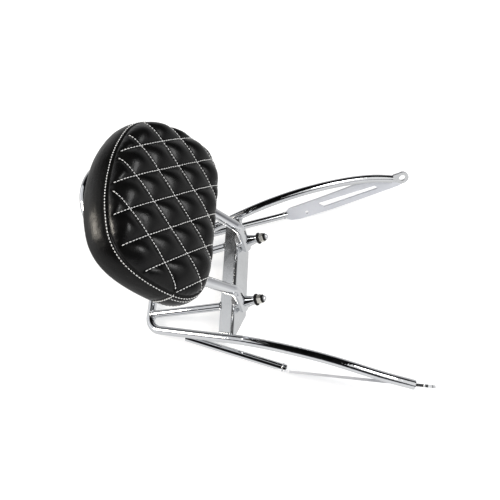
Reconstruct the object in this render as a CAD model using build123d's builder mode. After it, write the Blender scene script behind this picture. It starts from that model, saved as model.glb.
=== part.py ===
"""Sissy bar: a chromed tube rack with a bolted, quilted backrest pad.

Frame: +X to the front of the motorcycle, +Y to its left, +Z up, millimetres.
The part lies on a floor at Z = 0 on its rear tube and its two mounting plates.
"""

import os
from math import acos, cos, degrees, radians, sin, sqrt, tan

from build123d import *

os.makedirs("parts", exist_ok=True)

# Rack tube: one U-shaped bend, two rails that flare and arch forward
RAIL_OD = 14.0
RAIL_WALL = 1.5
REAR_X = -198.5
REAR_HALF = 71.5
REAR_BEND_R = 28.0
RAIL_FLARE = 0.2804
RAIL_RISE = 0.354
STRAIGHT_RUN = 112.0
RAIL_STATIONS = [(-36, 117.0, 64.0), (31, 136.6, 76.8), (98, 155.8, 78.0), (166, 174.2, 67.2)]
RAIL_END = (202, 180.4, 56.6)

# Bars between the rear tube and the cross angle
STRUT_OD = 13.0
STRUT_REAR_Y = 46.5
STRUT_FRONT_Y = 54.5

# Folded cross angle between the rails
ANGLE_CORNER = (-54.5, 62.0)
ANGLE_PITCH = 21.6
ANGLE_TOP = 24.3
ANGLE_DROP = 39.0
ANGLE_T = 4.0
ANGLE_R = 5.0
ANGLE_FOOT_HALF = 57.0

# Tubes under the rails
BRACE_OD = 11.5
BRACE_WALL = 1.5
BRACE_REAR = (-133, 93.0, 20.9)
BRACE_FRONT = (22, 140.8, 15.0)

# Slotted mounting plates and the eyes at the rail ends
PLATE_ORIGIN = (46.4, 143.4, 1.53)
PLATE_ALONG = (0.951, 0.1935, 0.243)
PLATE_NORMAL = (0.10, -0.93, 0.34)
PLATE_T = 4.0
PLATE_WIDTH = 28.0
PLATE_LENGTH = 186.0
SLOT_REAR = 36.0
SLOT_FRONT = 0.78 * PLATE_LENGTH
PLATE_HOLE_D = 6.5
EYE_OD = 21.5
EYE_HOLE_D = 11.0
EYE_T = 4.0
EYE_AT = (PLATE_LENGTH, 12.0)

# Backrest tube
LEG_OD = 16.0
LEG_WALL = 1.5
LEG_FOOT = (-42.1, 54.6, 47.0)
LEG_LEAN = 4.0
KNEE_R = 26.0
LEG_FLARE = 0.085
ARCH_TOP = 89.2

# Leg bolts
BOLT_D = 8.0
BOLT_HOLE = 8.4
BOLT_UP = 25.0
SPACER_OD = 13.0
SPACER_END = 23.4
WASHER_OD = 18.0
WASHER_T = 3.2
HEX_AF = 13.0
NUT_H = 6.5
BOLT_END = 38.0
HEAD_H = 5.3

# Pad
RECLINE = 41.0
PAD_X = -111.0
PAD_Z = 265.0
PAD_HALF_W = 125.0
PAD_TOP = 85.5
PAD_BOTTOM = 80.7
PAD_DEPTH = 55.3
BACK_TILT = 3.0
BACK_RISE = 8.0
PAD_BULGE = 5.0
SEAM_N = -16.0
DOME_N = 7.2
RIM_ROLL = 46.0
RIM_DROP = 24.0
ROLL_STEPS = [0, 0.02, 0.09, 0.22, 0.43, 0.72, 1.0]
CROWN_R = 850.0
DIAMOND_W = 50.0
DIAMOND_H = 59.0
PUFF_UP = 6.3
SECOND_LIFT = 0.6
FACE_T = 13.0
SKIRT_T = 6.0
BOARD_T = 8.0
COVER_T = 1.5

# Bars and screws that hold the pad
BAR_W = 25.0
BAR_T = 3.0
BAR_UPPER_V = 36.0
BAR_LOWER_V = -50.0
SCREW_U = 40.0
SCREW_D = 6.0
SCREW_HOLE = 6.6

# Frames that several parts share
lean = radians(RECLINE)
pad_plane = Plane(
    origin=(PAD_X, 0, PAD_Z), x_dir=(0, 1, 0), z_dir=(cos(lean), 0, sin(lean))
)
back_lean = radians(RECLINE + BACK_TILT)
back_plane = Plane(
    origin=pad_plane.from_local_coords(Vector(0, 0, -PAD_DEPTH)),
    x_dir=(0, 1, 0),
    z_dir=(cos(back_lean), 0, sin(back_lean)),
)


def pad_point(u, v, n):
    """A point given across, up and out of the pad."""
    return pad_plane.from_local_coords(Vector(u, v, n))


def bend(before, corner, after, radius):
    """Start, middle and end of a round bend at a corner of a tube's centre line."""
    back = (before - corner).normalized()
    on = (after - corner).normalized()
    half = acos(max(-1.0, min(1.0, back.dot(on)))) / 2
    start = corner + back * (radius / tan(half))
    end = corner + on * (radius / tan(half))
    middle = corner + (back + on).normalized() * (radius / sin(half) - radius)
    return start, middle, end


def other_side(point):
    """The same point on the right of the part."""
    return Vector(point.X, -point.Y, point.Z)


# Centre line of the rack tube
rail_way = Vector(1, RAIL_FLARE, RAIL_RISE).normalized()
rear_corner = Vector(REAR_X, REAR_HALF, RAIL_OD / 2)
rear_mid = Vector(REAR_X, 0, RAIL_OD / 2)
rail_straight_end = rear_corner + rail_way * STRAIGHT_RUN
rail_points = [rail_straight_end] + [Vector(p) for p in RAIL_STATIONS] + [Vector(RAIL_END)]
rail_end_way = (rail_points[-1] - rail_points[-2]).normalized() + Vector(0, -0.012, -0.07)
rear_start, rear_bow, rear_end = bend(rear_mid, rear_corner, rail_straight_end, REAR_BEND_R)

with BuildLine() as rack_line:
    Spline(
        [other_side(p) for p in reversed(rail_points)],
        tangents=[other_side(rail_end_way) * -1, other_side(rail_way) * -1],
    )
    Line(other_side(rail_straight_end), other_side(rear_end))
    ThreePointArc(other_side(rear_end), other_side(rear_bow), other_side(rear_start))
    Line(other_side(rear_start), rear_start)
    ThreePointArc(rear_start, rear_bow, rear_end)
    Line(rear_end, rail_straight_end)
    Spline(rail_points, tangents=[rail_way, rail_end_way])

rack_wire = rack_line.wires()[0]
rack_start = Plane(origin=rack_wire @ 0, z_dir=rack_wire % 0)
rail_end_plane = Plane(origin=Vector(RAIL_END), z_dir=rail_end_way)

# The rack tube's full outer form, which the parts welded to it are cut to
with BuildPart() as rack_core:
    with BuildSketch(rack_start):
        Circle(RAIL_OD / 2)
    sweep(path=rack_wire)

with BuildPart() as rack_bore:
    with BuildSketch(rack_start):
        Circle(RAIL_OD / 2 - RAIL_WALL)
    sweep(path=rack_wire)

with BuildPart() as main_hoop:
    add(rack_core.part)
    add(rack_bore.part, mode=Mode.SUBTRACT)

# Plugs that close the rail ends, flush with the cut tube
with BuildPart() as rail_plugs:
    add(rack_bore.part)
    with BuildSketch(rail_end_plane):
        Circle(RAIL_OD)
    keep_left = extrude(amount=-3, mode=Mode.PRIVATE)
    keep_right = mirror(keep_left, about=Plane.XZ, mode=Mode.PRIVATE)
    add([keep_left, keep_right], mode=Mode.INTERSECT)

# Cross angle, drawn as its bent section and cut to the rails
angle_lean = radians(ANGLE_PITCH)
angle_plane = Plane(
    origin=(ANGLE_CORNER[0], 0, ANGLE_CORNER[1]),
    x_dir=(-cos(angle_lean), 0, -sin(angle_lean)),
    z_dir=(0, 1, 0),
)
front_face = Plane(
    origin=(ANGLE_CORNER[0], 0, ANGLE_CORNER[1]),
    x_dir=(0, 1, 0),
    z_dir=(cos(angle_lean), 0, sin(angle_lean)),
)
down = -1 if angle_plane.y_dir.Z > 0 else 1

with BuildPart() as cross_angle:
    with BuildSketch(angle_plane):
        with BuildLine():
            Polyline(
                (0, 0),
                (ANGLE_TOP, 0),
                (ANGLE_TOP, down * ANGLE_T),
                (ANGLE_T, down * ANGLE_T),
                (ANGLE_T, down * ANGLE_DROP),
                (0, down * ANGLE_DROP),
                close=True,
            )
        make_face()
    extrude(amount=REAR_HALF * 2, both=True)
    fillet(cross_angle.edges().filter_by(Axis.Y).sort_by_distance(angle_plane.origin)[0], ANGLE_R)
    # plan trim along the rails
    with BuildSketch(Plane.XY):
        with BuildLine():
            ends = []
            for x in (-110.0, -10.0):
                ends.append((x, REAR_HALF + RAIL_FLARE * (x - REAR_X) - 3.5))
            Polyline(
                ends[0],
                ends[1],
                (ends[1][0], -ends[1][1]),
                (ends[0][0], -ends[0][1]),
                close=True,
            )
        make_face()
    extrude(amount=120, mode=Mode.INTERSECT)
    # sloped lower corners of the front flange
    with BuildSketch(front_face):
        for side in (-1, 1):
            with BuildLine():
                Polyline(
                    (side * ANGLE_FOOT_HALF, -ANGLE_DROP - 1),
                    (side * (ANGLE_FOOT_HALF + 46), -0.27 * ANGLE_DROP),
                    (side * (ANGLE_FOOT_HALF + 90), -0.27 * ANGLE_DROP),
                    (side * (ANGLE_FOOT_HALF + 90), -ANGLE_DROP - 1),
                    close=True,
                )
            make_face()
    extrude(amount=-ANGLE_T - 1, mode=Mode.SUBTRACT)
    add(rack_core.part, mode=Mode.SUBTRACT)

# Struts: round bar from the rear tube to the back edge of the cross angle
angle_back = Vector(
    ANGLE_CORNER[0] - ANGLE_TOP * cos(angle_lean) + ANGLE_T / 2 * sin(angle_lean),
    0,
    ANGLE_CORNER[1] - ANGLE_TOP * sin(angle_lean) - ANGLE_T / 2 * cos(angle_lean),
)
strut_rear = Vector(REAR_X, STRUT_REAR_Y, RAIL_OD / 2)
strut_front = Vector(angle_back.X, STRUT_FRONT_Y, angle_back.Z)
strut_way = strut_front - strut_rear

with BuildPart() as left_strut:
    with BuildSketch(Plane(origin=strut_rear, z_dir=strut_way)):
        Circle(STRUT_OD / 2)
    extrude(amount=strut_way.length + 3)
    split(bisect_by=Plane(origin=angle_back, z_dir=angle_plane.x_dir), keep=Keep.TOP)
    add(rack_core.part, mode=Mode.SUBTRACT)

with BuildPart() as right_strut:
    mirror(left_strut.part, about=Plane.XZ)

# Slotted mounting plate, drawn flat in its own leaning plane
plate_plane = Plane(origin=PLATE_ORIGIN, x_dir=PLATE_ALONG, z_dir=PLATE_NORMAL)
half = PLATE_T / 2

with BuildPart() as left_eye:
    with BuildSketch(plate_plane.offset(-EYE_T / 2)):
        with Locations(EYE_AT):
            Circle(EYE_OD / 2)
        with BuildLine():
            Polyline(
                (EYE_AT[0] - 22, EYE_AT[1] + 1.5),
                (EYE_AT[0] - 4, EYE_AT[1] - EYE_OD * 0.42),
                (EYE_AT[0] + 2, EYE_AT[1] + EYE_OD * 0.46),
                (EYE_AT[0] - 17, EYE_AT[1] + 10.5),
                close=True,
            )
        make_face()
        with Locations(EYE_AT):
            Circle(EYE_HOLE_D / 2, mode=Mode.SUBTRACT)
    extrude(amount=EYE_T)
    split(bisect_by=rail_end_plane, keep=Keep.TOP)

with BuildPart() as left_plate:
    with BuildSketch(plate_plane.offset(-half)):
        with BuildLine():
            Polyline(
                (0, -0.5),
                (-15, 0.11 * PLATE_WIDTH),
                (-23.5, 0.32 * PLATE_WIDTH),
                (-20.5, 0.77 * PLATE_WIDTH),
                (-12.5, 0.95 * PLATE_WIDTH),
                (50, 0.98 * PLATE_WIDTH),
                (0.58 * PLATE_LENGTH, 1.05 * PLATE_WIDTH),
                (0.77 * PLATE_LENGTH, 0.80 * PLATE_WIDTH),
                (PLATE_LENGTH - 14, 0.62 * PLATE_WIDTH),
                (PLATE_LENGTH, 0.35 * PLATE_WIDTH),
                (PLATE_LENGTH - 1, 0.06 * PLATE_WIDTH),
                (PLATE_LENGTH - 10, -0.5),
                (0.35 * PLATE_LENGTH, -2.5),
                close=True,
            )
        make_face()
        fillet(vertices(), 2.5)
        with Locations((14.5, 0.29 * PLATE_WIDTH)):
            Circle(PLATE_HOLE_D / 2, mode=Mode.SUBTRACT)
    extrude(amount=PLATE_T)
    with BuildSketch(plate_plane.offset(-half)):
        with BuildLine():
            Polyline(
                (SLOT_REAR, 0.68 * PLATE_WIDTH),
                (SLOT_REAR + 10, 0.255 * PLATE_WIDTH),
                (SLOT_FRONT, 0.275 * PLATE_WIDTH),
                (SLOT_FRONT - 7, 0.545 * PLATE_WIDTH),
                close=True,
            )
        make_face()
        fillet(vertices(), 2.2)
    extrude(amount=PLATE_T, mode=Mode.SUBTRACT)
    add(rack_core.part, mode=Mode.SUBTRACT)
    with BuildSketch(plate_plane.offset(-half - 1)):
        with Locations(EYE_AT):
            Circle(EYE_OD / 2)
    extrude(amount=PLATE_T + 2, mode=Mode.SUBTRACT)
    add(left_eye.part, mode=Mode.SUBTRACT)
    keep_plate = left_plate.solids().sort_by(SortBy.VOLUME)[-1]

with BuildPart() as left_mount_plate:
    add(keep_plate)

with BuildPart() as right_mount_plate:
    mirror(left_mount_plate.part, about=Plane.XZ)
    add(rack_core.part, mode=Mode.SUBTRACT)

with BuildPart() as right_eye:
    mirror(left_eye.part, about=Plane.XZ)

# Braces: tubes under the rails, cut to the rail above and the plate in front
brace_rear = Vector(BRACE_REAR)
brace_way = Vector(BRACE_FRONT) - brace_rear
brace_plane = Plane(origin=brace_rear, z_dir=brace_way)

with BuildPart() as left_brace:
    with BuildSketch(brace_plane):
        Circle(BRACE_OD / 2)
        Circle(BRACE_OD / 2 - BRACE_WALL, mode=Mode.SUBTRACT)
    extrude(amount=brace_way.length + 1.5)
    add(rack_core.part, mode=Mode.SUBTRACT)
    split(bisect_by=plate_plane.offset(half), keep=Keep.TOP)
    keep_brace = left_brace.solids().sort_by(SortBy.VOLUME)[-1]

with BuildPart() as left_lower_brace:
    add(keep_brace)

with BuildPart() as right_lower_brace:
    mirror(left_lower_brace.part, about=Plane.XZ)

# Backrest tube: two legs, a knee in each, and an arch behind the pad
hoop_plane = back_plane.offset(-BAR_T - LEG_OD / 2)
leg_foot = Vector(LEG_FOOT)
leg_up = Vector(-sin(radians(LEG_LEAN)), 0.015, cos(radians(LEG_LEAN)))
to_hoop = (hoop_plane.origin - leg_foot).dot(hoop_plane.z_dir)
leg_knee = leg_foot + leg_up * (to_hoop / leg_up.dot(hoop_plane.z_dir))
knee_local = hoop_plane.to_local_coords(leg_knee)
slant = sqrt(1 + LEG_FLARE**2)
arch_v = (ARCH_TOP * slant - knee_local.X + LEG_FLARE * knee_local.Y) / (slant + LEG_FLARE)
arch_r = ARCH_TOP - arch_v
arch_side = hoop_plane.from_local_coords(
    Vector(arch_r / slant, arch_v - arch_r * LEG_FLARE / slant, 0)
)
arch_mid = hoop_plane.from_local_coords(Vector(0, ARCH_TOP, 0))
knee_start, knee_bow, knee_end = bend(leg_foot, leg_knee, arch_side, KNEE_R)

with BuildLine() as hoop_line:
    Line(other_side(leg_foot), other_side(knee_start))
    ThreePointArc(other_side(knee_start), other_side(knee_bow), other_side(knee_end))
    Line(other_side(knee_end), other_side(arch_side))
    ThreePointArc(other_side(arch_side), arch_mid, arch_side)
    Line(arch_side, knee_end)
    ThreePointArc(knee_end, knee_bow, knee_start)
    Line(knee_start, leg_foot)

hoop_wire = hoop_line.wires()[0]
hoop_start = Plane(origin=hoop_wire @ 0, z_dir=hoop_wire % 0)

with BuildPart() as leg_core:
    with BuildSketch(hoop_start):
        Circle(LEG_OD / 2)
    sweep(path=hoop_wire)

with BuildPart() as leg_bore:
    with BuildSketch(hoop_start):
        Circle(LEG_OD / 2 - LEG_WALL)
    sweep(path=hoop_wire)

# Bolt line: square to the leg, a little above the cross angle
bolt_out = Vector(cos(radians(LEG_LEAN)), 0, sin(radians(LEG_LEAN)))
bolt_at = leg_foot + leg_up * BOLT_UP
bolt_planes = [
    Plane(origin=bolt_at, z_dir=bolt_out),
    Plane(origin=other_side(bolt_at), z_dir=bolt_out),
]

with BuildPart() as backrest_hoop:
    add(leg_core.part)
    add(leg_bore.part, mode=Mode.SUBTRACT)
    for plane in bolt_planes:
        with BuildSketch(plane):
            Circle(BOLT_HOLE / 2)
        extrude(amount=LEG_OD, both=True, mode=Mode.SUBTRACT)
    add(cross_angle.part, mode=Mode.SUBTRACT)

with BuildPart() as leg_plugs:
    add(leg_bore.part)
    with BuildSketch(Plane.XY.offset(LEG_FOOT[2] - 5)):
        Rectangle(400, 400)
    extrude(amount=8, mode=Mode.INTERSECT)
    add(cross_angle.part, mode=Mode.SUBTRACT)

with BuildPart() as leg_spacers:
    for plane in bolt_planes:
        with BuildSketch(plane):
            Circle(SPACER_OD / 2)
        extrude(amount=SPACER_END)
    add(leg_core.part, mode=Mode.SUBTRACT)
    for plane in bolt_planes:
        with BuildSketch(plane):
            Circle(BOLT_HOLE / 2)
        extrude(amount=SPACER_END + 1, mode=Mode.SUBTRACT)

with BuildPart() as bolt_washers:
    for plane in bolt_planes:
        with BuildSketch(plane.offset(SPACER_END)):
            Circle(WASHER_OD / 2)
            Circle(BOLT_HOLE / 2, mode=Mode.SUBTRACT)
        extrude(amount=WASHER_T)

NUT_AT = SPACER_END + WASHER_T

with BuildPart() as bolt_nuts:
    for plane in bolt_planes:
        with BuildSketch(plane.offset(NUT_AT)):
            RegularPolygon(HEX_AF / 2, 6, major_radius=False, rotation=30)
        extrude(amount=NUT_H)
        with BuildSketch(plane.offset(NUT_AT + NUT_H)):
            Circle(HEX_AF * 0.44)
        extrude(amount=1.6)
        with BuildSketch(plane.offset(NUT_AT)):
            Circle(BOLT_D / 2)
        extrude(amount=NUT_H + 2, mode=Mode.SUBTRACT)

with BuildPart() as leg_bolts:
    for plane in bolt_planes:
        with BuildSketch(plane.offset(-LEG_OD / 2)):
            Circle(BOLT_D / 2)
        extrude(amount=LEG_OD / 2 + BOLT_END)
        with BuildSketch(plane.offset(-LEG_OD / 2)):
            RegularPolygon(HEX_AF / 2, 6, major_radius=False, rotation=30)
        extrude(amount=-HEAD_H)
    chamfer(leg_bolts.faces().sort_by(Axis.X)[-2:].edges(), 1.0)

# Flat bars welded across the backrest tube
bar_plane = back_plane.offset(-BAR_T)


def leg_u(v):
    """Distance of the backrest tube's centre line from the middle at a height."""
    if v > arch_v:
        return sqrt(arch_r**2 - (v - arch_v) ** 2)
    return knee_local.X + LEG_FLARE * (v - knee_local.Y)


screw_places = []
for v in (BAR_UPPER_V, BAR_LOWER_V):
    for side in (-1, 1):
        screw_places.append((side * SCREW_U, v))

with BuildPart() as upper_pad_bar:
    with BuildSketch(bar_plane):
        with Locations((0, BAR_UPPER_V)):
            RectangleRounded(2 * leg_u(BAR_UPPER_V) + 10, BAR_W, 6)
        with Locations(screw_places[:2]):
            Circle(SCREW_HOLE / 2, mode=Mode.SUBTRACT)
    extrude(amount=BAR_T)

with BuildPart() as lower_pad_bar:
    with BuildSketch(bar_plane):
        with Locations((0, BAR_LOWER_V)):
            RectangleRounded(2 * leg_u(BAR_LOWER_V) + 10, BAR_W, 6)
        with Locations(screw_places[2:]):
            Circle(SCREW_HOLE / 2, mode=Mode.SUBTRACT)
    extrude(amount=BAR_T)

with BuildPart() as pad_screw_washers:
    with BuildSketch(bar_plane):
        with Locations(screw_places):
            Circle(SCREW_D)
            Circle(SCREW_HOLE / 2, mode=Mode.SUBTRACT)
    extrude(amount=-1.2)

with BuildPart() as pad_screws:
    with BuildSketch(bar_plane.offset(-1.2)):
        with Locations(screw_places):
            RegularPolygon(5.0, 6, major_radius=False)
    extrude(amount=-4)
    with BuildSketch(bar_plane.offset(-1.2)):
        with Locations(screw_places):
            Circle(SCREW_D / 2)
    extrude(amount=1.2 + BAR_T + COVER_T + BOARD_T)

with BuildPart() as t_nuts:
    with BuildSketch(back_plane.offset(COVER_T + 1)):
        with Locations(screw_places):
            Circle(4.2)
            Circle(SCREW_D / 2, mode=Mode.SUBTRACT)
    extrude(amount=BOARD_T - 1)
    with BuildSketch(back_plane.offset(COVER_T + BOARD_T)):
        with Locations(screw_places):
            Circle(9.0)
            Circle(SCREW_D / 2, mode=Mode.SUBTRACT)
    extrude(amount=1.5)


def shield(grow, rise=0.0):
    """The pad's outline, let out by a margin: arched top, wide waist, round foot."""
    w = PAD_HALF_W + grow
    t = PAD_TOP + grow + rise
    b = PAD_BOTTOM + grow
    right = [
        (0, t),
        (0.286 * w, 0.973 * t),
        (0.511 * w, 0.899 * t),
        (0.714 * w, 0.777 * t),
        (0.850 * w, 0.596 * t),
        (0.947 * w, 0.298 * t),
        (0.992 * w, -0.04 * b),
        (1.000 * w, -0.395 * b),
        (0.955 * w, -0.670 * b),
        (0.842 * w, -0.868 * b),
        (0.660 * w, -0.974 * b),
        (0.340 * w, -1.0 * b),
        (0, -1.0 * b),
    ]
    left = [(-x, y) for x, y in reversed(right)]
    Spline(right, tangents=[(1, 0), (-1, 0)])
    Spline(left, tangents=[(-1, 0), (1, 0)])


crown_centre = pad_point(0, 0, -CROWN_R)


def domed(inset, drop):
    """The padded form: straight walls, a rolled rim and a flat top, drawn in by a margin."""
    rim_n = DOME_N - RIM_DROP - drop
    with BuildPart() as form:
        for step in ROLL_STEPS:
            level = rim_n + RIM_DROP * sqrt(1 - (1 - step) ** 2)
            with BuildSketch(pad_plane.offset(level)):
                with BuildLine():
                    shield(-inset - RIM_ROLL * step)
                make_face()
        loft()
        with BuildSketch(pad_plane.offset(rim_n)):
            with BuildLine():
                shield(-inset)
            make_face()
        extrude(amount=-PAD_DEPTH)
    return form.part


def slab(start, height):
    """All the room between two planes in line with the pad's back."""
    with BuildPart() as room:
        with BuildSketch(back_plane.offset(start)):
            Rectangle(400, 400)
        extrude(amount=height)
    return room.part


with BuildPart() as pad_core:
    with BuildSketch(pad_plane.offset(-PAD_DEPTH - 30)):
        with BuildLine():
            shield(0)
        make_face()
    extrude(amount=PAD_DEPTH + 60)

with BuildPart() as pad_back_cover:
    with BuildSketch(back_plane):
        with BuildLine():
            shield(3.0, BACK_RISE)
        make_face()
        with Locations(screw_places):
            Circle(SCREW_HOLE / 2, mode=Mode.SUBTRACT)
    extrude(amount=COVER_T)

with BuildPart() as pad_board:
    add(pad_core.part)
    add(slab(COVER_T, BOARD_T), mode=Mode.INTERSECT)
    with BuildSketch(back_plane.offset(COVER_T)):
        with Locations(screw_places):
            Circle(SCREW_HOLE / 2)
    extrude(amount=BOARD_T, mode=Mode.SUBTRACT)
    add(t_nuts.part, mode=Mode.SUBTRACT)

# The domed core that the quilted panel is drawn over
foam_form = domed(SKIRT_T, FACE_T)

with BuildPart() as pad_foam:
    add(foam_form)
    add(slab(COVER_T + BOARD_T, 2 * PAD_DEPTH), mode=Mode.INTERSECT)
    add(t_nuts.part, mode=Mode.SUBTRACT)

# Gusset: the side band from the face seam to the wider back
with BuildPart() as pad_gusset:
    with BuildSketch(back_plane.offset(COVER_T)):
        with BuildLine():
            shield(3.0, BACK_RISE)
        make_face()
    with BuildSketch(pad_plane.offset((SEAM_N - PAD_DEPTH) / 2)):
        with BuildLine():
            shield(PAD_BULGE, BACK_RISE * 0.7)
        make_face()
    with BuildSketch(pad_plane.offset(SEAM_N)):
        with BuildLine():
            shield(1.2)
        make_face()
    loft()
    add(pad_core.part, mode=Mode.SUBTRACT)

# Quilting: each family of seams is one scalloped section turned about the crown's centre,
# and the panel is what both families leave, so every diamond stands up between four seams
seam_way = Vector(DIAMOND_W / 2, DIAMOND_H / 2).normalized()
seam_step = DIAMOND_W * seam_way.Y
seam_rows = 5
turn = degrees(190.0 / CROWN_R)


def scallops(side, lift):
    """One family of quilted ridges over the crown, running up to one side."""
    along = pad_plane.x_dir * (side * seam_way.X) + pad_plane.y_dir * seam_way.Y
    across = pad_plane.x_dir * seam_way.Y - pad_plane.y_dir * (side * seam_way.X)
    axis = Axis(crown_centre, across)
    out = pad_plane.z_dir
    first = (out + along * tan(radians(turn))).normalized()
    section = Plane(origin=crown_centre, x_dir=across, z_dir=across.cross(first))
    low = CROWN_R + lift
    high = CROWN_R + PUFF_UP + lift
    with BuildPart() as ridges:
        with BuildSketch(section):
            with BuildLine():
                edge = seam_rows * seam_step
                for k in range(-seam_rows, seam_rows):
                    a = k * seam_step
                    c = (k + 0.5) * seam_step
                    b = (k + 1) * seam_step
                    ThreePointArc(
                        (a, sqrt(low**2 - a**2)),
                        (c, sqrt(high**2 - c**2)),
                        (b, sqrt(low**2 - b**2)),
                    )
                Polyline(
                    (edge, sqrt(low**2 - edge**2)),
                    (edge, CROWN_R - 70),
                    (-edge, CROWN_R - 70),
                    (-edge, sqrt(low**2 - edge**2)),
                )
            make_face()
        revolve(axis=axis, revolution_arc=2 * turn)
    return ridges.part


with BuildPart() as pad_face:
    add(domed(0.0, 0.0))
    add(slab(COVER_T + BOARD_T, 2 * PAD_DEPTH), mode=Mode.INTERSECT)
    add(scallops(1, 0.0), mode=Mode.INTERSECT)
    add(scallops(-1, SECOND_LIFT), mode=Mode.INTERSECT)
    add(foam_form, mode=Mode.SUBTRACT)

nodes = {
    "main_hoop": main_hoop,
    "rail_plugs": rail_plugs,
    "left_strut": left_strut,
    "right_strut": right_strut,
    "cross_angle": cross_angle,
    "left_lower_brace": left_lower_brace,
    "right_lower_brace": right_lower_brace,
    "left_mount_plate": left_mount_plate,
    "right_mount_plate": right_mount_plate,
    "left_eye": left_eye,
    "right_eye": right_eye,
    "backrest_hoop": backrest_hoop,
    "leg_plugs": leg_plugs,
    "leg_spacers": leg_spacers,
    "leg_bolts": leg_bolts,
    "bolt_washers": bolt_washers,
    "bolt_nuts": bolt_nuts,
    "upper_pad_bar": upper_pad_bar,
    "lower_pad_bar": lower_pad_bar,
    "pad_screw_washers": pad_screw_washers,
    "pad_screws": pad_screws,
    "t_nuts": t_nuts,
    "pad_back_cover": pad_back_cover,
    "pad_board": pad_board,
    "pad_foam": pad_foam,
    "pad_gusset": pad_gusset,
    "pad_face": pad_face,
}
for name, built in nodes.items():
    built.part.label = name
    export_step(built.part, f"parts/{name}.step")
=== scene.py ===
"""Looks for the sissy bar: chromed rack, bolted backrest tube and quilted pad."""

import math

import bmesh
import bpy
import numpy as np
from mathutils import Matrix, Vector, geometry, noise
from mathutils.bvhtree import BVHTree


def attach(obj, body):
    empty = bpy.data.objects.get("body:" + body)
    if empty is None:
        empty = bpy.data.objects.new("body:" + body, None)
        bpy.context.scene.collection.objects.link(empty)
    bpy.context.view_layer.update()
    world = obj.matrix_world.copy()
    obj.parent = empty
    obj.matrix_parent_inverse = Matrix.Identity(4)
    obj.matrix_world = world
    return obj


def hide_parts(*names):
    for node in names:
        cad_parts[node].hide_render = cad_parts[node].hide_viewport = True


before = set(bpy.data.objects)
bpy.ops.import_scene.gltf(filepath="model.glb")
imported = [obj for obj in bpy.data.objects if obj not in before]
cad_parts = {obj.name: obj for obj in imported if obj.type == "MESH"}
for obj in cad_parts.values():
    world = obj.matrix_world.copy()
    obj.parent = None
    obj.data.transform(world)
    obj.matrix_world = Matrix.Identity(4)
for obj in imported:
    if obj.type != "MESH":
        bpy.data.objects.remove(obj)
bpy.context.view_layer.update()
scene = bpy.context.scene
scene.view_settings.view_transform = "Standard"
MM = 0.001

# Camera: fitted to the photograph
CAM_RIGHT = Vector((0.99471, 0.037124, -0.09578))
CAM_DOWN = Vector((-0.018988, -0.849892, -0.526615))
CAM_AHEAD = Vector((-0.100952, 0.525648, -0.844691))
CAM_AT = Vector((0.06363, -0.46669, 0.87745))
cam_data = bpy.data.cameras.new("photo_camera")
cam_data.sensor_width = 36.0
cam_data.lens = 43.2
cam_data.clip_start = 0.02
cam_data.clip_end = 50.0
cam = bpy.data.objects.new("photo_camera", cam_data)
scene.collection.objects.link(cam)
place = Matrix((CAM_RIGHT, -CAM_DOWN, -CAM_AHEAD)).transposed().to_4x4()
place.translation = CAM_AT
cam.matrix_world = place
scene.camera = cam


# Materials
def grey(level):
    return (level, level, level)


def new_material(name):
    m = bpy.data.materials.new(name)
    m.use_nodes = True
    t = m.node_tree
    return m, t, t.nodes["Principled BSDF"]


def node(t, kind, **sets):
    """Adds a node and sets its inputs or its properties by name."""
    n = t.nodes.new(kind)
    for key, value in sets.items():
        if key in n.inputs:
            n.inputs[key].default_value = value
        else:
            setattr(n, key, value)
    return n


def coords(t):
    return node(t, "ShaderNodeTexCoord").outputs["Object"]


def noise_tex(t, scale, detail=3.0):
    n = node(t, "ShaderNodeTexNoise", Scale=scale, Detail=detail)
    t.links.new(coords(t), n.inputs["Vector"])
    return n.outputs["Fac"]


def ramp(t, fac, stops):
    r = node(t, "ShaderNodeValToRGB")
    while len(r.color_ramp.elements) < len(stops):
        r.color_ramp.elements.new(0.5)
    for e, (pos, col) in zip(r.color_ramp.elements, stops):
        e.position = pos
        e.color = (*col, 1.0)
    t.links.new(fac, r.inputs["Fac"])
    return r.outputs["Color"]


def map_range(t, value, start, end):
    """Carries a value over from the range start to the range end."""
    r = node(t, "ShaderNodeMapRange")
    for key, limit in zip(("From Min", "From Max", "To Min", "To Max"), (*start, *end)):
        r.inputs[key].default_value = limit
    t.links.new(value, r.inputs["Value"])
    return r


def tint(t, bsdf, fac, dark, light, ends=(0.3, 0.7)):
    """Shades the base colour between two colours by a texture."""
    t.links.new(ramp(t, fac, list(zip(ends, (dark, light)))), bsdf.inputs["Base Color"])


def polish(t, bsdf, fac, low, high):
    """Varies the roughness between two values by a texture."""
    r = map_range(t, fac, (0.3, 0.7), (low, high))
    t.links.new(r.outputs["Result"], bsdf.inputs["Roughness"])


def bump(t, bsdf, height, strength, distance, under=None):
    b = node(t, "ShaderNodeBump", Strength=strength, Distance=distance)
    t.links.new(height, b.inputs["Height"])
    if under is not None:
        t.links.new(under.outputs["Normal"], b.inputs["Normal"])
    t.links.new(b.outputs["Normal"], bsdf.inputs["Normal"])
    return b


def metal(name, dark, light, rough, ripple=0.02, metallic=1.0):
    """Metal with slight changes of tint and polish and a fine ripple."""
    m, t, b = new_material(name)
    b.inputs["Metallic"].default_value = metallic
    tint(t, b, noise_tex(t, scale=22.0), dark, light)
    polish(t, b, noise_tex(t, scale=90.0, detail=4.0), *rough)
    bump(t, b, noise_tex(t, scale=260.0, detail=2.0), strength=ripple, distance=0.0004)
    return m


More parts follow.
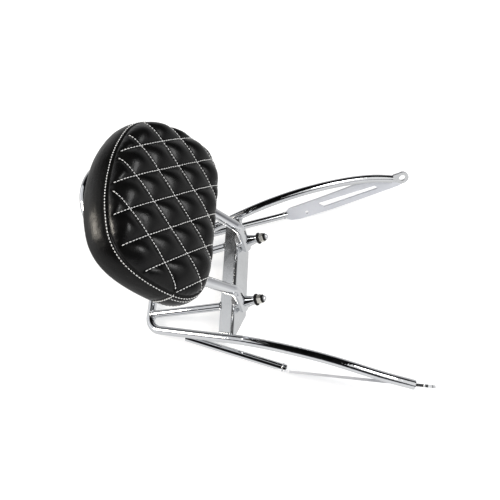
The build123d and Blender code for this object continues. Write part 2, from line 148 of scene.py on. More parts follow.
def leather(name, dark, light, rough, grain=0.25, shine=0.24, shaded_grooves=False):
    """Grained leather; on a quilted panel its shine is cut in the stitched grooves, where
    "rise" is low, as painted shade.
    """
    m, t, b = new_material(name)
    tint(t, b, noise_tex(t, scale=45.0, detail=5.0), dark, light, (0.3, 0.72))
    polish(t, b, noise_tex(t, scale=30.0, detail=4.0), *rough)
    b.inputs["Specular IOR Level"].default_value = shine
    if shaded_grooves:
        # painted shade: in the stitched grooves the shine falls to 8% of its level
        groove = node(t, "ShaderNodeAttribute", attribute_name="rise")
        lit = map_range(t, groove.outputs["Fac"], (0.0, 1.0), (0.08 * shine, shine))
        t.links.new(lit.outputs["Result"], b.inputs["Specular IOR Level"])
    # the grain: small cells, bent a little by noise
    bend = node(t, "ShaderNodeTexNoise", Scale=300.0, Detail=2.0)
    bend_size = node(t, "ShaderNodeVectorMath", operation="SCALE", Scale=0.0012)
    bent = node(t, "ShaderNodeVectorMath", operation="ADD")
    cells = node(t, "ShaderNodeTexVoronoi", Scale=620.0, feature="SMOOTH_F1")
    t.links.new(coords(t), bend.inputs["Vector"])
    t.links.new(bend.outputs["Color"], bend_size.inputs[0])
    t.links.new(coords(t), bent.inputs[0])
    t.links.new(bend_size.outputs[0], bent.inputs[1])
    t.links.new(bent.outputs[0], cells.inputs["Vector"])
    waves = bump(t, b, noise_tex(t, scale=70.0), strength=0.12, distance=0.002)
    bump(t, b, cells.outputs["Distance"], strength=grain, distance=0.0004, under=waves)
    return m


def twisted_thread(name):
    m, t, b = new_material(name)
    tint(t, b, noise_tex(t, scale=700.0, detail=2.0), (0.72, 0.71, 0.69), (0.90, 0.89, 0.87))
    b.inputs["Roughness"].default_value = 0.7
    twist = node(t, "ShaderNodeTexWave", Scale=900.0, Distortion=1.5)
    t.links.new(coords(t), twist.inputs["Vector"])
    bump(t, b, twist.outputs["Fac"], strength=0.3, distance=0.0002)
    return m


def black_finish(name):
    m, t, b = new_material(name)
    tint(t, b, noise_tex(t, scale=300.0), grey(0.004), grey(0.009))
    polish(t, b, noise_tex(t, scale=500.0), 0.3, 0.5)
    b.inputs["Specular IOR Level"].default_value = 0.15
    return m


def plain_wood(name):
    m, t, b = new_material(name)
    tint(t, b, noise_tex(t, scale=60.0), (0.36, 0.25, 0.14), (0.52, 0.39, 0.24))
    return m


chrome = metal("chrome", (0.72, 0.73, 0.75), (0.79, 0.80, 0.81), (0.03, 0.09))
chrome_plate = metal(
    "chrome_plate", (0.72, 0.73, 0.77), (0.81, 0.82, 0.86), (0.32, 0.42), 0.004, 0.5
)
chrome_fold = metal(
    "chrome_fold", (0.68, 0.69, 0.70), (0.76, 0.77, 0.78), (0.11, 0.20), 0.03, 0.95
)
plug_metal = metal("plug_metal", (0.55, 0.56, 0.58), (0.7, 0.71, 0.72), (0.12, 0.25))
zinc = metal("zinc", (0.58, 0.58, 0.59), (0.74, 0.74, 0.75), (0.2, 0.34), 0.08, 0.7)
nut_zinc = metal("nut_zinc", (0.70, 0.68, 0.60), (0.86, 0.84, 0.77), (0.12, 0.24), 0.06, 0.85)
weld_metal = metal(
    "weld_metal", (0.54, 0.55, 0.57), (0.80, 0.81, 0.83), (0.14, 0.28), 0.3, 0.85
)
black_oxide = black_finish("black_oxide")
# the face leather carries the painted shade in its stitched grooves
face_leather = leather(
    "face_leather", grey(0.0022), (0.0045, 0.0043, 0.0042), (0.24, 0.33), shaded_grooves=True
)
side_leather = leather(
    "side_leather", (0.0025, 0.0024, 0.0023), (0.005, 0.0047, 0.0045), (0.22, 0.30), shine=0.17
)
back_leather = leather("back_leather", grey(0.010), grey(0.018), (0.5, 0.65), grain=0.4)
white_thread = twisted_thread("white_thread")
plywood = plain_wood("plywood")

# The solids that stay in sight; the others are replaced below
finish = {
    "main_hoop": chrome,
    "backrest_hoop": chrome,
    "left_strut": chrome,
    "right_strut": chrome,
    "left_lower_brace": chrome,
    "right_lower_brace": chrome,
    "cross_angle": chrome_fold,
    "left_mount_plate": chrome_plate,
    "right_mount_plate": chrome_plate,
    "left_eye": chrome_fold,
    "right_eye": chrome_fold,
    "upper_pad_bar": chrome_fold,
    "lower_pad_bar": chrome_fold,
    "rail_plugs": plug_metal,
    "leg_plugs": plug_metal,
    "pad_screw_washers": zinc,
    "pad_screws": zinc,
    "t_nuts": zinc,
    "pad_board": plywood,
}
for name, material in finish.items():
    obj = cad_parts[name]
    if not obj.material_slots:
        obj.data.materials.append(material)
    for material_slot in obj.material_slots:
        material_slot.link = "OBJECT"
        material_slot.material = material

# The pad's own frame: u across, v up, n out of the face, in millimetres
PAD_LEAN = math.radians(41.0)
PAD_AT = Vector((-111.0, 0.0, 265.0))
PAD_U = Vector((0.0, 1.0, 0.0))
PAD_V = Vector((-math.sin(PAD_LEAN), 0.0, math.cos(PAD_LEAN)))
PAD_N = Vector((math.cos(PAD_LEAN), 0.0, math.sin(PAD_LEAN)))

# The pad's shape
HALF_W, TOP, BOTTOM = 125.0, 85.5, 80.7
BACK_N, BACK_SLOPE, BACK_RISE = -55.3, -0.0524, 8.0
CROWN_TOP, CROWN_FALL = -0.4, 0.0001
ROLL_WIDTH, ROLL_DROP = 46.5, 15.5
HEM_RINGS = [(-0.9, -1.6), (0.9, -2.3), (2.0, -3.2), (2.4, -4.6), (3.0, -6.4)]
WALL_ROWS = 13
WALL_BULGE = (3.0, 5.0, 3.0)
WALL_LIFT = (0.6, 5.6, 8.0)
BACK_RINGS = [(3.0, 2.0), (2.2, 0.8), (0.6, 0.25), (-3.0, 0.15)]
BACK_SHRINK = (0.85, 0.6, 0.35, 0.1)
JOINT_V, JOINT_SLANT, JOINT_U = -25.4, 5.7, 90.0
PINCH_DEPTH, PINCH_WIDTH = 1.3, 2.6

# The quilting: half a diamond's width and height, and the lattice's two ways
CELL_U, CELL_V = 25.0, 29.5
E1 = np.array([CELL_U, CELL_V])
E2 = np.array([-CELL_U, CELL_V])
CELLS = 5
PILLOW_POWER = 0.85
FADE_WIDTH = 14.0

# The mesh: steps along a diamond's side, points round the outline, gap between the two
SUB = 12
RIM = 196
RIM_CLEAR = 1.2
FACE, SIDE, BACK = range(3)
PUFF = 7.4


def pad_point(u, v, n):
    return (PAD_AT + PAD_U * u + PAD_V * v + PAD_N * n) * MM


def back_level(v):
    return BACK_N + BACK_SLOPE * v


def smooth_line(points, first, last, steps=60):
    """A smooth curve through points, with the given directions at its two ends."""
    p = np.array(points, float)
    h = np.linalg.norm(np.diff(p, axis=0), axis=1)
    k = len(p)
    a = np.zeros((k, k))
    b = np.zeros((k, 2))
    a[0, 0] = a[-1, -1] = 1.0
    b[0], b[-1] = first, last
    for i in range(1, k - 1):
        a[i, i - 1], a[i, i], a[i, i + 1] = h[i], 2 * (h[i - 1] + h[i]), h[i - 1]
        b[i] = 3 * (h[i] * (p[i] - p[i - 1]) / h[i - 1] + h[i - 1] * (p[i + 1] - p[i]) / h[i])
    m = np.linalg.solve(a, b)
    out = []
    for i in range(k - 1):
        for s in np.linspace(0, 1, steps, endpoint=False):
            out.append(
                (2 * s**3 - 3 * s**2 + 1) * p[i]
                + (s**3 - 2 * s**2 + s) * h[i] * m[i]
                + (3 * s**2 - 2 * s**3) * p[i + 1]
                + (s**3 - s**2) * h[i] * m[i + 1]
            )
    out.append(p[-1])
    return np.array(out)


def shield(grow, count, rise=0.0):
    """The pad's outline let out by a margin, evenly spaced, starting at the top."""
    w, t, b = HALF_W + grow, TOP + grow + rise, BOTTOM + grow
    half = smooth_line(
        [
            (0, t), (0.286 * w, 0.973 * t), (0.511 * w, 0.899 * t), (0.714 * w, 0.777 * t),
            (0.850 * w, 0.596 * t), (0.947 * w, 0.298 * t), (0.992 * w, -0.04 * b),
            (w, -0.395 * b), (0.955 * w, -0.670 * b), (0.842 * w, -0.868 * b),
            (0.660 * w, -0.974 * b), (0.340 * w, -b), (0, -b),
        ],
        (1, 0),
        (-1, 0),
    )
    loop = np.vstack([half, half[-2:0:-1] * [-1, 1]])
    loop = np.vstack([loop, loop[:1]])
    length = np.concatenate([[0], np.cumsum(np.linalg.norm(np.diff(loop, axis=0), axis=1))])
    at = np.linspace(0, length[-1], count, endpoint=False)
    return np.column_stack([np.interp(at, length, loop[:, c]) for c in (0, 1)])


def rim_distance(points, loop):
    """How far each point lies inside the outline; negative outside."""
    q = np.asarray(points, float)
    a = loop
    b = np.roll(loop, -1, axis=0)
    d = b - a
    best = np.full(len(q), 1e9)
    inside = np.zeros(len(q), bool)
    for (ax, ay), (bx, by), (dx, dy) in zip(a, b, d):
        t = np.clip(((q[:, 0] - ax) * dx + (q[:, 1] - ay) * dy) / (dx * dx + dy * dy), 0, 1)
        best = np.minimum(best, np.hypot(q[:, 0] - ax - t * dx, q[:, 1] - ay - t * dy))
        cross = (ay > q[:, 1]) != (by > q[:, 1])
        rise = by - ay if by != ay else 1e-12
        inside ^= cross & (q[:, 0] < dx * (q[:, 1] - ay) / rise + ax)
    return np.where(inside, best, -best)


def quilt_cell(u, v):
    """Where a point lies in the lattice; whole numbers are stitched lines."""
    return (u / CELL_U + v / CELL_V) / 2, (v / CELL_V - u / CELL_U) / 2


def face_base(u, v, d):
    """The panel's level along its stitched lines: slightly crowned, rolled down to the seam."""
    near = 1 - np.clip(d / ROLL_WIDTH, 0, 1)
    drop = 1 - np.sqrt(np.clip(1 - near * near, 0, 1))
    return CROWN_TOP - CROWN_FALL * (u * u + v * v) - ROLL_DROP * drop


def face_height(u, v, d):
    """The quilted panel: its base with a pillow in each diamond, dying out at the seam."""
    i, j = quilt_cell(u, v)
    fi, fj = i - np.floor(i), j - np.floor(j)
    hump = np.clip(4 * fi * (1 - fi), 0, 1) * np.clip(4 * fj * (1 - fj), 0, 1)
    fade = np.clip(d / FADE_WIDTH, 0, 1)
    return face_base(u, v, d) + PUFF * hump**PILLOW_POWER * fade * (2 - fade)


rim_loop = shield(0.0, RIM)


def face_panel():
    """The panel laid flat: its points, outline first, its faces and the points held by thread.

    Whole squares of the lattice are quads, and triangles join them to the outline.
    """
    flat = [tuple(p) for p in rim_loop]
    held = set(range(RIM))
    reach = CELLS * SUB
    grid = [(i, j) for i in range(-reach, reach + 1) for j in range(-reach, reach + 1)]
    spots = np.array([(i * E1 + j * E2) / SUB for i, j in grid])
    ids = {}
    for (i, j), p, d in zip(grid, spots, rim_distance(spots, rim_loop)):
        if d > RIM_CLEAR:
            ids[i, j] = len(flat)
            if i % SUB == 0 or j % SUB == 0:
                held.add(len(flat))
            flat.append(tuple(p))
    edges = [(k, (k + 1) % RIM) for k in range(RIM)]
    out = geometry.delaunay_2d_cdt([Vector(p) for p in flat], edges, [], 1, 1e-6)
    tris, origin = out[2], out[3]
    back_to = {n: o[0] for n, o in enumerate(origin) if o}
    lattice = {n: key for key, n in ids.items()}
    full = {
        (i, j)
        for (i, j) in ids
        if (i + 1, j) in ids and (i, j + 1) in ids and (i + 1, j + 1) in ids
    }
    faces = []
    for tri in tris:
        t = [back_to[n] for n in tri]
        keys = [lattice.get(n) for n in t]
        if all(keys):
            low = (min(k[0] for k in keys), min(k[1] for k in keys))
            small = all(k[0] - low[0] <= 1 and k[1] - low[1] <= 1 for k in keys)
            if small and low in full:
                continue
        faces.append(tuple(t))
    for i, j in full:
        faces.append((ids[i, j], ids[i + 1, j], ids[i + 1, j + 1], ids[i, j + 1]))
    return flat, faces, held


def joint_gap(loop, s):
    """Distance along the band from the slanted joint near each lower corner."""
    at = JOINT_V + JOINT_SLANT * s
    return np.where(np.abs(loop[:, 0]) > JOINT_U, np.abs(loop[:, 1] - at), np.inf)


def pad_mesh():
    """The closed cover: points, faces, the leather of each face and the points held."""
    flat, faces, held = face_panel()
    q = np.array(flat)
    d = np.maximum(rim_distance(q, rim_loop), 0)
    d[:RIM] = 0
    high = face_height(q[:, 0], q[:, 1], d)
    verts = [pad_point(u, v, n) for (u, v), n in zip(flat, high)]
    kind = [FACE] * len(faces)
    ring = list(range(RIM))

    def add_ring(loop, level, mark, fixed):
        nonlocal ring
        start = len(verts)
        for (u, v), n in zip(loop, level):
            verts.append(pad_point(u, v, n))
        new = list(range(start, start + RIM))
        for k in range(RIM):
            m = (k + 1) % RIM
            faces.append((ring[k], ring[m], new[m], new[k]))
            kind.append(mark)
        if fixed:
            held.update(new)
        ring = new

    # groove and folded edge at the face seam
    seam_level = face_base(rim_loop[:, 0], rim_loop[:, 1], np.zeros(RIM))
    for grow, drop in HEM_RINGS:
        add_ring(shield(grow, RIM), seam_level + drop, SIDE, True)
    # swelling wall, pinched at the joints
    top, foot = seam_level + HEM_RINGS[-1][1], BACK_RINGS[0][1]
    bulge = np.polyfit([0.0, 0.5, 1.0], WALL_BULGE, 2)
    lift = np.polyfit([0.0, 0.5, 1.0], WALL_LIFT, 2)
    for s in np.linspace(0, 1, WALL_ROWS)[1:-1]:
        grow, rise = np.polyval(bulge, s), np.polyval(lift, s)
        loop = shield(grow, RIM, rise)
        inner = shield(grow - PINCH_DEPTH, RIM, rise)
        pinch = np.exp(-((joint_gap(loop, s) / PINCH_WIDTH) ** 2))[:, None]
        loop = loop + (inner - loop) * pinch
        level = top + (back_level(loop[:, 1]) + foot - top) * s
        add_ring(loop, level, SIDE, False)
    # rolled edge at the back, then the back panel in shrinking rings
    for grow, up in BACK_RINGS:
        loop = shield(grow, RIM, BACK_RISE)
        add_ring(loop, back_level(loop[:, 1]) + up, SIDE if grow > 0 else BACK, True)
    last, up = loop, BACK_RINGS[-1][1]
    for f in BACK_SHRINK:
        add_ring(last * f, back_level(last[:, 1] * f) + up, BACK, True)
    faces.append(tuple(reversed(ring)))
    kind.append(BACK)
    return verts, faces, kind, held


def make_object(name, verts, faces, materials, kind=None):
    mesh = bpy.data.meshes.new(name)
    mesh.from_pydata([tuple(v) for v in verts], [], faces)
    for m in materials:
        mesh.materials.append(m)
    if kind is not None:
        mesh.polygons.foreach_set("material_index", kind)
    mesh.polygons.foreach_set("use_smooth", [True] * len(mesh.polygons))
    obj = bpy.data.objects.new(name, mesh)
    scene.collection.objects.link(obj)
    return obj


pad_verts, pad_faces, pad_kind, pad_held = pad_mesh()
leathers = [face_leather, side_leather, back_leather]
pad = make_object("pad_cover", pad_verts, pad_faces, leathers, pad_kind)
bm = bmesh.new()
bm.from_mesh(pad.data)
bmesh.ops.recalc_face_normals(bm, faces=bm.faces)
bm.to_mesh(pad.data)
bm.free()

# How far each point lies from the stitched grooves, where the face leather's shine is cut as
# painted shade for the light the grooves keep out
local = np.array([v.co[:] for v in pad.data.vertices]) / MM - np.array(PAD_AT)
cells = quilt_cell(local @ np.array(PAD_U), local @ np.array(PAD_V))
gaps = np.minimum(*[np.abs(c - np.round(c)) for c in cells])
rise_layer = pad.data.attributes.new("rise", "FLOAT", "POINT")
rise_layer.data.foreach_set("value", np.clip(gaps * SUB, 0, 1))

CLOTH = {
    "quality": 6,
    "mass": 0.02,
    "tension_stiffness": 8.0,
    "compression_stiffness": 8.0,
    "shear_stiffness": 4.0,
    "bending_stiffness": 0.2,
    "air_damping": 2.0,
    "use_pressure": True,
    "uniform_pressure_force": 4.0,
    "vertex_group_mass": "stitched",
    "pin_stiffness": 1.0,
}
CLOTH_FRAMES = 20
CLOTH_CACHE = 24
SWELL_CAP = 0.005


def inflate(obj, fixed, cap):
    """Blows the cover up between its stitched lines, no point by more than cap."""
    group = obj.vertex_groups.new(name="stitched")
    group.add(sorted(fixed), 1.0, "REPLACE")
    before = np.array([v.co[:] for v in obj.data.vertices])
    mod = obj.modifiers.new("swell", "CLOTH")
    for key, value in CLOTH.items():
        setattr(mod.settings, key, value)
    mod.settings.effector_weights.gravity = 0.0
    mod.collision_settings.use_collision = False
    mod.point_cache.frame_start = 1
    mod.point_cache.frame_end = CLOTH_CACHE
    for f in range(1, CLOTH_FRAMES + 1):
        scene.frame_set(f)
    graph = bpy.context.evaluated_depsgraph_get()
    after = np.array([v.co[:] for v in obj.evaluated_get(graph).data.vertices])
    obj.modifiers.remove(mod)
    scene.frame_set(1)
    move = after - before
    far = np.linalg.norm(move, axis=1)
    move *= (np.minimum(far, cap) / np.maximum(far, 1e-9))[:, None]
    obj.data.vertices.foreach_set("co", (before + move).ravel())
    obj.data.update()


inflate(pad, pad_held, SWELL_CAP)
sub = pad.modifiers.new("smooth", "SUBSURF")
sub.levels = sub.render_levels = 1
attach(pad, "root")
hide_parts("pad_face", "pad_gusset", "pad_back_cover", "pad_foam")

# Stitches lie on the finished cover
depsgraph = bpy.context.evaluated_depsgraph_get()
skin = BVHTree.FromObject(pad, depsgraph)
ABOVE_FACE = 40.0
BESIDE_PAD = 0.06


def on_face(u, v):
    """The cover's point and normal straight below a point of the face."""
    hit = skin.ray_cast(pad_point(u, v, ABOVE_FACE), -PAD_N)
    return hit[0], hit[1]


def on_side(u, v, n, out):
    """The cover's point and normal met from outside the band."""
    way = PAD_U * out[0] + PAD_V * out[1]
    hit = skin.ray_cast(pad_point(u, v, n) + way * BESIDE_PAD, -way)
    return hit[0], hit[1]


def tube(verts, faces, path, radii, sides=6):
    """Adds a closed tube along path to the lists of verts and faces."""
    start = len(verts)
    way = (path[-1] - path[0]).normalized()
    side = way.orthogonal().normalized()
    up = way.cross(side)
    for p, r in zip(path, radii):
        for k in range(sides):
            a = 2 * math.pi * k / sides
            verts.append(p + side * (r * math.cos(a)) + up * (r * math.sin(a)))
    rows = len(path)
    for i in range(rows - 1):
        row = start + i * sides
        for k in range(sides):
            m = (k + 1) % sides
            faces.append((row + k, row + m, row + sides + m, row + sides + k))
    faces.append(tuple(start + k for k in reversed(range(sides))))
    faces.append(tuple(start + (rows - 1) * sides + k for k in range(sides)))


# A stitch: places along it and how thick it is there, its rise and how its ends dive
STITCH_PLACES = (-0.5, -0.36, 0.0, 0.36, 0.5)
STITCH_THICK = (0.35, 0.85, 1.0, 0.85, 0.35)
STITCH_RISE, STITCH_DIVE = 0.75, 2.6


def sew(verts, faces, spots, pitch, stitch, radius, sink=0.0):
    """Lays stitches along a line of (point, normal) spots on the cover."""
    line = [s for s in spots if s[0] is not None]
    length = [0.0]
    for a, b in zip(line, line[1:]):
        length.append(length[-1] + (b[0] - a[0]).length)
    count = int(length[-1] / pitch)
    if count < 1:
        return

    def at(s):
        k = min(max(int(np.searchsorted(length, s)) - 1, 0), len(line) - 2)
        f = (s - length[k]) / max(length[k + 1] - length[k], 1e-9)
        p = line[k][0].lerp(line[k + 1][0], f)
        n = line[k][1].lerp(line[k + 1][1], f).normalized()
        return p, n

    step = length[-1] / count
    for c in range(count):
        mid = (c + 0.5) * step
        path = []
        for f in STITCH_PLACES:
            p, n = at(mid + f * stitch)
            lift = radius * (STITCH_RISE - STITCH_DIVE * f * f) - sink
            path.append(p + n * lift)
        tube(verts, faces, path, [radius * k for k in STITCH_THICK])


# Quilted lines end this far from the seam, nearer to it low on the face
LINE_CLEAR, LOW_CLEAR, LOW_V = 2.5, 0.6, -30.0


def quilt_stitches():
    """Stitches along both families of quilted lines."""
    verts, faces = [], []
    steps = np.linspace(-6, 6, 1201)
    for base, way in ((E1, E2), (E2, E1)):
        for k in range(-CELLS, CELLS + 1):
            line = np.array([k * base + t * way for t in steps])
            clear = np.where(line[:, 1] < LOW_V, LOW_CLEAR, LINE_CLEAR)
            inside = rim_distance(line, rim_loop) > clear
            if inside.sum() < 20:
                continue
            spots = [on_face(u, v) for u, v in line[inside]]
            sew(verts, faces, spots, pitch=4.4 * MM, stitch=3.4 * MM, radius=0.62 * MM)
    return verts, faces


EDGE = 720
LOWER_V = -26.0
SEAM_ROW, SECOND_ROW, BACK_ROW, JOINT_ENDS = 4.4, 10.5, 4.0, 2.5


def hem_stitches():
    """Rows on the side band: one all round, two more on its lower piece, and the joints."""
    verts, faces = [], []
    edge = shield(0.0, EDGE)
    out = shield(1.0, EDGE) - edge
    out /= np.linalg.norm(out, axis=1)[:, None]
    seam = face_base(edge[:, 0], edge[:, 1], np.zeros(EDGE))
    first = int(np.argmax(edge[:, 1] < LOWER_V))
    lower = range(first, EDGE - first + 1)
    spots = [on_side(*edge[k], seam[k] - SEAM_ROW, out[k]) for k in range(EDGE)]
    sew(verts, faces, spots + spots[:1], pitch=4.3 * MM, stitch=2.9 * MM, radius=0.62 * MM)
    spots = [on_side(*edge[k], seam[k] - SECOND_ROW, out[k]) for k in lower]
    sew(verts, faces, spots, pitch=4.3 * MM, stitch=3.2 * MM, radius=0.55 * MM)
    spots = [on_side(*edge[k], back_level(edge[k][1]) + BACK_ROW, out[k]) for k in lower]
    sew(verts, faces, spots, pitch=5.2 * MM, stitch=2.9 * MM, radius=0.55 * MM)
    for joint, turn in ((first, 1), (EDGE - first, -1)):
        spots = []
        for s in np.linspace(0.0, 1.0, 60):
            k = joint + turn * int(round(3 - 9 * s))
            top, low = seam[k] - JOINT_ENDS, back_level(edge[k][1]) + JOINT_ENDS
            spots.append(on_side(*edge[k], top + (low - top) * s, out[k]))
        sew(verts, faces, spots, 3.6 * MM, 3.2 * MM, 0.8 * MM, sink=-0.3 * MM)
    return verts, faces


quilt_thread = make_object("quilt_stitching", *quilt_stitches(), [white_thread])
hem_thread = make_object("hem_stitching", *hem_stitches(), [white_thread])
for obj in (quilt_thread, hem_thread):
    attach(obj, "root")

# Weld beads: struts and cross angle to the rack's tube and to each other, braces to the plates
rack = BVHTree.FromObject(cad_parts["main_hoop"], depsgraph)
BEAD_SIDES = 8
BEAD_ASKEW = Vector((0.31, 0.22, 0.93))


def bead(verts, faces, path, radius, closed):
    """Adds a rippled bead along path, in millimetres."""
    start, rows = len(verts), len(path)
    for i, p in enumerate(path):
        after = path[(i + 1) % rows] if closed or i < rows - 1 else path[i]
        before = path[i - 1] if closed or i > 0 else path[i]
        way = (after - before).normalized()
        side = way.cross(BEAD_ASKEW).normalized()
        up = way.cross(side)
        end = 1.0 if closed else min(1.0, 0.35 + 0.4 * min(i, rows - 1 - i))
        r = radius * end * (1 + 0.2 * math.sin(i * 1.9) + 0.12 * noise.noise(p * 0.35))
        for k in range(BEAD_SIDES):
            t = 2 * math.pi * k / BEAD_SIDES
            verts.append((p + side * (r * math.cos(t)) + up * (r * math.sin(t))) * MM)
    for i in range(rows if closed else rows - 1):
        a, b = start + i * BEAD_SIDES, start + ((i + 1) % rows) * BEAD_SIDES
        for k in range(BEAD_SIDES):
            m = (k + 1) % BEAD_SIDES
            faces.append((a + k, a + m, b + m, b + k))
    if not closed:
        last = start + (rows - 1) * BEAD_SIDES
        faces.append(tuple(start + k for k in reversed(range(BEAD_SIDES))))
        faces.append(tuple(last + k for k in range(BEAD_SIDES)))


def land(points, way):
    """Slides points along a direction until they meet the rack's tube."""
    hits = [rack.ray_cast(p * MM, way.normalized())[0] for p in points]
    return [h / MM for h in hits if h is not None]


def round_points(at, way, radius, count=44):
    """Points of a circle about an axis."""
    side = way.orthogonal().normalized()
    up = way.normalized().cross(side)
    turn = [math.radians(360.0 * k / count) for k in range(count)]
    return [at + side * (radius * math.cos(t)) + up * (radius * math.sin(t)) for t in turn]


# The cross angle's front faces this way; its corner by the left rail
ANGLE_PITCH = math.radians(21.6)
ANGLE_OUT = Vector((math.cos(ANGLE_PITCH), 0.0, math.sin(ANGLE_PITCH)))
ANGLE_CORNER = Vector((-54.5, 85.0, 62.0))
STRUT_REAR, STRUT_FRONT = Vector((-198.5, 46.5, 7.0)), Vector((-77.8, 54.5, 51.2))
BRACE_REAR, BRACE_FRONT = Vector((-133.0, 93.0, 20.9)), Vector((22.0, 140.8, 15.0))
TO_LEFT = Vector((0, 1, 0))

strut_way = STRUT_REAR - STRUT_FRONT
strut_ring = round_points(STRUT_REAR.lerp(STRUT_FRONT, 0.25), strut_way, 6.7)
brace_ring = round_points(BRACE_REAR.lerp(BRACE_FRONT, 0.975), BRACE_FRONT - BRACE_REAR, 5.7)
above_angle = Vector((0, 0, 0.3))
angle_top = [ANGLE_CORNER - ANGLE_OUT * t + above_angle for t in np.linspace(1.0, 24.0, 16)]
angle_front = [
    ANGLE_CORNER + Vector((0.4 + 0.37 * t, 0, -0.93 * t)) for t in np.linspace(3.0, 11.0, 8)
]
strut_top = [Vector((-77.2, y, 53.4)) for y in np.linspace(46.8, 62.2, 14)]
weld_verts, weld_faces = [], []
for path, radius, closed in (
    (land(strut_ring, strut_way), 1.5, True),
    (brace_ring, 1.0, True),
    (land(angle_top, TO_LEFT), 1.9, False),
    (land(angle_front, TO_LEFT), 1.7, False),
    (strut_top, 1.5, False),
):
    mirrored = [Vector((p.x, -p.y, p.z)) for p in path]
    bead(weld_verts, weld_faces, path, radius, closed)
    bead(weld_verts, weld_faces, mirrored, radius, closed)
welds = make_object("weld_beads", weld_verts, weld_faces, [weld_metal])
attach(welds, "root")

# Bolted feet of the backrest tube: the photo shows them square to the angle's front
FOOT_AT = Vector((-20.5, 55.0, 73.5))
HEAD_LEAN = math.radians(4.0)
HEAD_AXIS = Vector((math.cos(HEAD_LEAN), 0.0, math.sin(HEAD_LEAN)))
HEAD_AT = Vector((-43.85, 55.0, 71.9))
SHARP = math.radians(35)


def turned(name, runs, material):
    """Makes turned or hexagonal pieces on both feet.

    Each run is a place, an axis, a number of sides and stations of (distance, radius).
    """
    verts, faces = [], []
    for at, axis, sides, stations in runs:
        for y in (1, -1):
            foot = Vector((at.x, y * at.y, at.z))
            path = [(foot + axis * s) * MM for s, r in stations]
            tube(verts, faces, path, [r * MM for s, r in stations], sides)
    obj = make_object(name, verts, faces, [material])
    obj.data.set_sharp_from_angle(angle=SHARP)
    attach(obj, "root")
    return obj


boss = [(-35.4, 6.9), (-20.0, 6.9), (-17.5, 10.0), (-4.5, 6.9), (-0.6, 6.9), (0.0, 6.4)]
washer = [(0.0, 8.3), (0.7, 9.1), (2.7, 9.1), (3.4, 8.3)]
nut = [(3.4, 6.9), (4.0, 7.5), (9.6, 7.5), (10.4, 6.8)]
nut_end = [(10.2, 6.2), (12.4, 6.2), (13.2, 5.4)]
bolt_end = [(2.0, 4.0), (15.6, 4.0), (16.6, 3.2)]
bolt_head = [(-13.0, 6.8), (-12.4, 7.5), (-7.2, 7.5)]
foot_bosses = turned("foot_bosses", [(FOOT_AT, ANGLE_OUT, 40, boss)], chrome)
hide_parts("leg_spacers")
foot_washers = turned(
    "foot_washers",
    [(FOOT_AT, ANGLE_OUT, 40, washer), (FOOT_AT, ANGLE_OUT, 40, nut_end)],
    black_oxide,
)
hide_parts("bolt_washers")
foot_nuts = turned("foot_nuts", [(FOOT_AT, ANGLE_OUT, 6, nut)], nut_zinc)
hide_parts("bolt_nuts")
foot_bolts = turned(
    "foot_bolts",
    [(FOOT_AT, ANGLE_OUT, 24, bolt_end), (HEAD_AT, HEAD_AXIS, 6, bolt_head)],
    zinc,
)
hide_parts("leg_bolts")

# Floor: a white sheet to the camera, and to reflections a glow that fades to the far side
FLOOR_SEEN, FLOOR_SHARE = 1.78, 0.3
FLOOR_GLOW = (0.92, 0.6)


def pale_floor():
    m, t, b = new_material("pale_floor")
    b.inputs["Roughness"].default_value = 0.9
    b.inputs["Specular IOR Level"].default_value = 0.0
    tint(t, b, noise_tex(t, scale=3.0), grey(0.88), grey(0.91))
    rays = node(t, "ShaderNodeLightPath")
    camera_ray = rays.outputs["Is Camera Ray"]
    depth = node(t, "ShaderNodeSeparateXYZ")
    t.links.new(coords(t), depth.inputs[0])
    reflected = map_range(t, depth.outputs["Y"], (-0.5, 0.5), FLOOR_GLOW)
    strength = map_range(t, camera_ray, (0.0, 1.0), (0.0, FLOOR_SEEN))
    t.links.new(reflected.outputs["Result"], strength.inputs["To Min"])
    glow = node(t, "ShaderNodeEmission", Color=(1, 1, 1, 1))
    t.links.new(strength.outputs["Result"], glow.inputs["Strength"])
    seen = node(t, "ShaderNodeMath", operation="MULTIPLY")
    seen.inputs[1].default_value = FLOOR_SHARE
    t.links.new(camera_ray, seen.inputs[0])
    share = node(t, "ShaderNodeMath", operation="MAXIMUM")
    t.links.new(seen.outputs[0], share.inputs[0])
    t.links.new(rays.outputs["Is Glossy Ray"], share.inputs[1])
    mix = node(t, "ShaderNodeMixShader")
    t.links.new(share.outputs[0], mix.inputs["Fac"])
    t.links.new(b.outputs["BSDF"], mix.inputs[1])
    t.links.new(glow.outputs[0], mix.inputs[2])
    t.links.new(mix.outputs[0], t.nodes["Material Output"].inputs["Surface"])
    return m


bpy.ops.mesh.primitive_plane_add(size=14.0, location=(0, 0, 0))
floor = bpy.context.object
floor.name = "floor"
floor.data.materials.append(pale_floor())

# World: white to the camera, soft light on surfaces, and a dark room in reflections
ROOM_BY_HEIGHT = [
    (0.0, (0.85, 0.85, 0.86)), (0.17, (0.80, 0.80, 0.82)), (0.27, (0.45, 0.45, 0.47)),
    (0.36, (0.02, 0.02, 0.022)), (0.80, grey(0.006)), (1.0, grey(0.003)),
]
ROOM_NEAR_FAR = (1.0, 0.5)


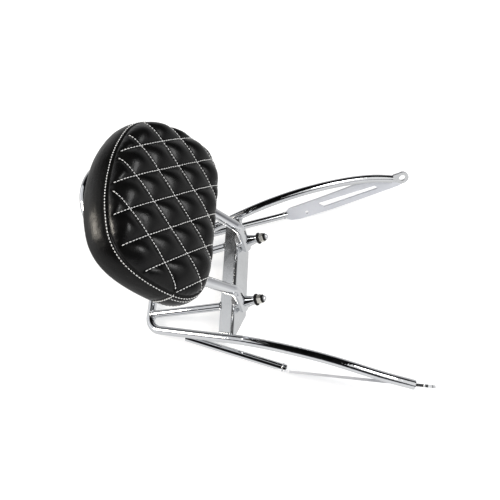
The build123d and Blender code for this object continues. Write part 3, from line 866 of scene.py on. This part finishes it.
def light_world(world):
    world.use_nodes = True
    t = world.node_tree
    soft = t.nodes["Background"]
    soft.inputs["Color"].default_value = (0.95, 0.97, 1.0, 1.0)
    soft.inputs["Strength"].default_value = 0.5
    way = node(t, "ShaderNodeSeparateXYZ")
    t.links.new(node(t, "ShaderNodeTexCoord").outputs["Generated"], way.inputs[0])
    room = node(t, "ShaderNodeBackground")
    near_far = map_range(t, way.outputs["Y"], (-0.6, 0.6), ROOM_NEAR_FAR)
    t.links.new(near_far.outputs["Result"], room.inputs["Strength"])
    t.links.new(ramp(t, way.outputs["Z"], ROOM_BY_HEIGHT), room.inputs["Color"])
    white = node(t, "ShaderNodeBackground", Color=(1, 1, 1, 1), Strength=1.0)
    rays = node(t, "ShaderNodeLightPath")
    lit = node(t, "ShaderNodeMixShader")
    t.links.new(rays.outputs["Is Glossy Ray"], lit.inputs["Fac"])
    t.links.new(soft.outputs[0], lit.inputs[1])
    t.links.new(room.outputs[0], lit.inputs[2])
    seen = node(t, "ShaderNodeMixShader")
    t.links.new(rays.outputs["Is Camera Ray"], seen.inputs["Fac"])
    t.links.new(lit.outputs[0], seen.inputs[1])
    t.links.new(white.outputs[0], seen.inputs[2])
    t.links.new(seen.outputs[0], t.nodes["World Output"].inputs["Surface"])


scene.world = bpy.data.worlds.new("studio")
light_world(scene.world)


def softbox(name, at, aim, size, power, colour=(1, 1, 1)):
    data = bpy.data.lights.new(name, "AREA")
    data.shape = "RECTANGLE"
    data.size, data.size_y = size
    data.energy = power
    data.color = colour
    lamp = bpy.data.objects.new(name, data)
    scene.collection.objects.link(lamp)
    lamp.location = at
    lamp.rotation_euler = (Vector(aim) - Vector(at)).to_track_quat("-Z", "Y").to_euler()


RACK_AIM, PAD_AIM = (0.0, 0.0, 0.1), (-0.1, 0.0, 0.25)
softbox("rear_softbox", (-1.66, 0.12, 0.95), RACK_AIM, (1.9, 1.7), 7.2, (0.97, 0.98, 1.0))
softbox("front_softbox", (1.10, -0.42, 1.50), RACK_AIM, (2.0, 1.8), 10.0)
softbox("strip_softbox", (0.94, -0.16, 1.90), PAD_AIM, (0.9, 0.7), 16.0)
softbox("low_softbox", (-1.54, -0.02, 0.90), PAD_AIM, (0.5, 0.4), 14.0, (1.0, 0.93, 0.82))
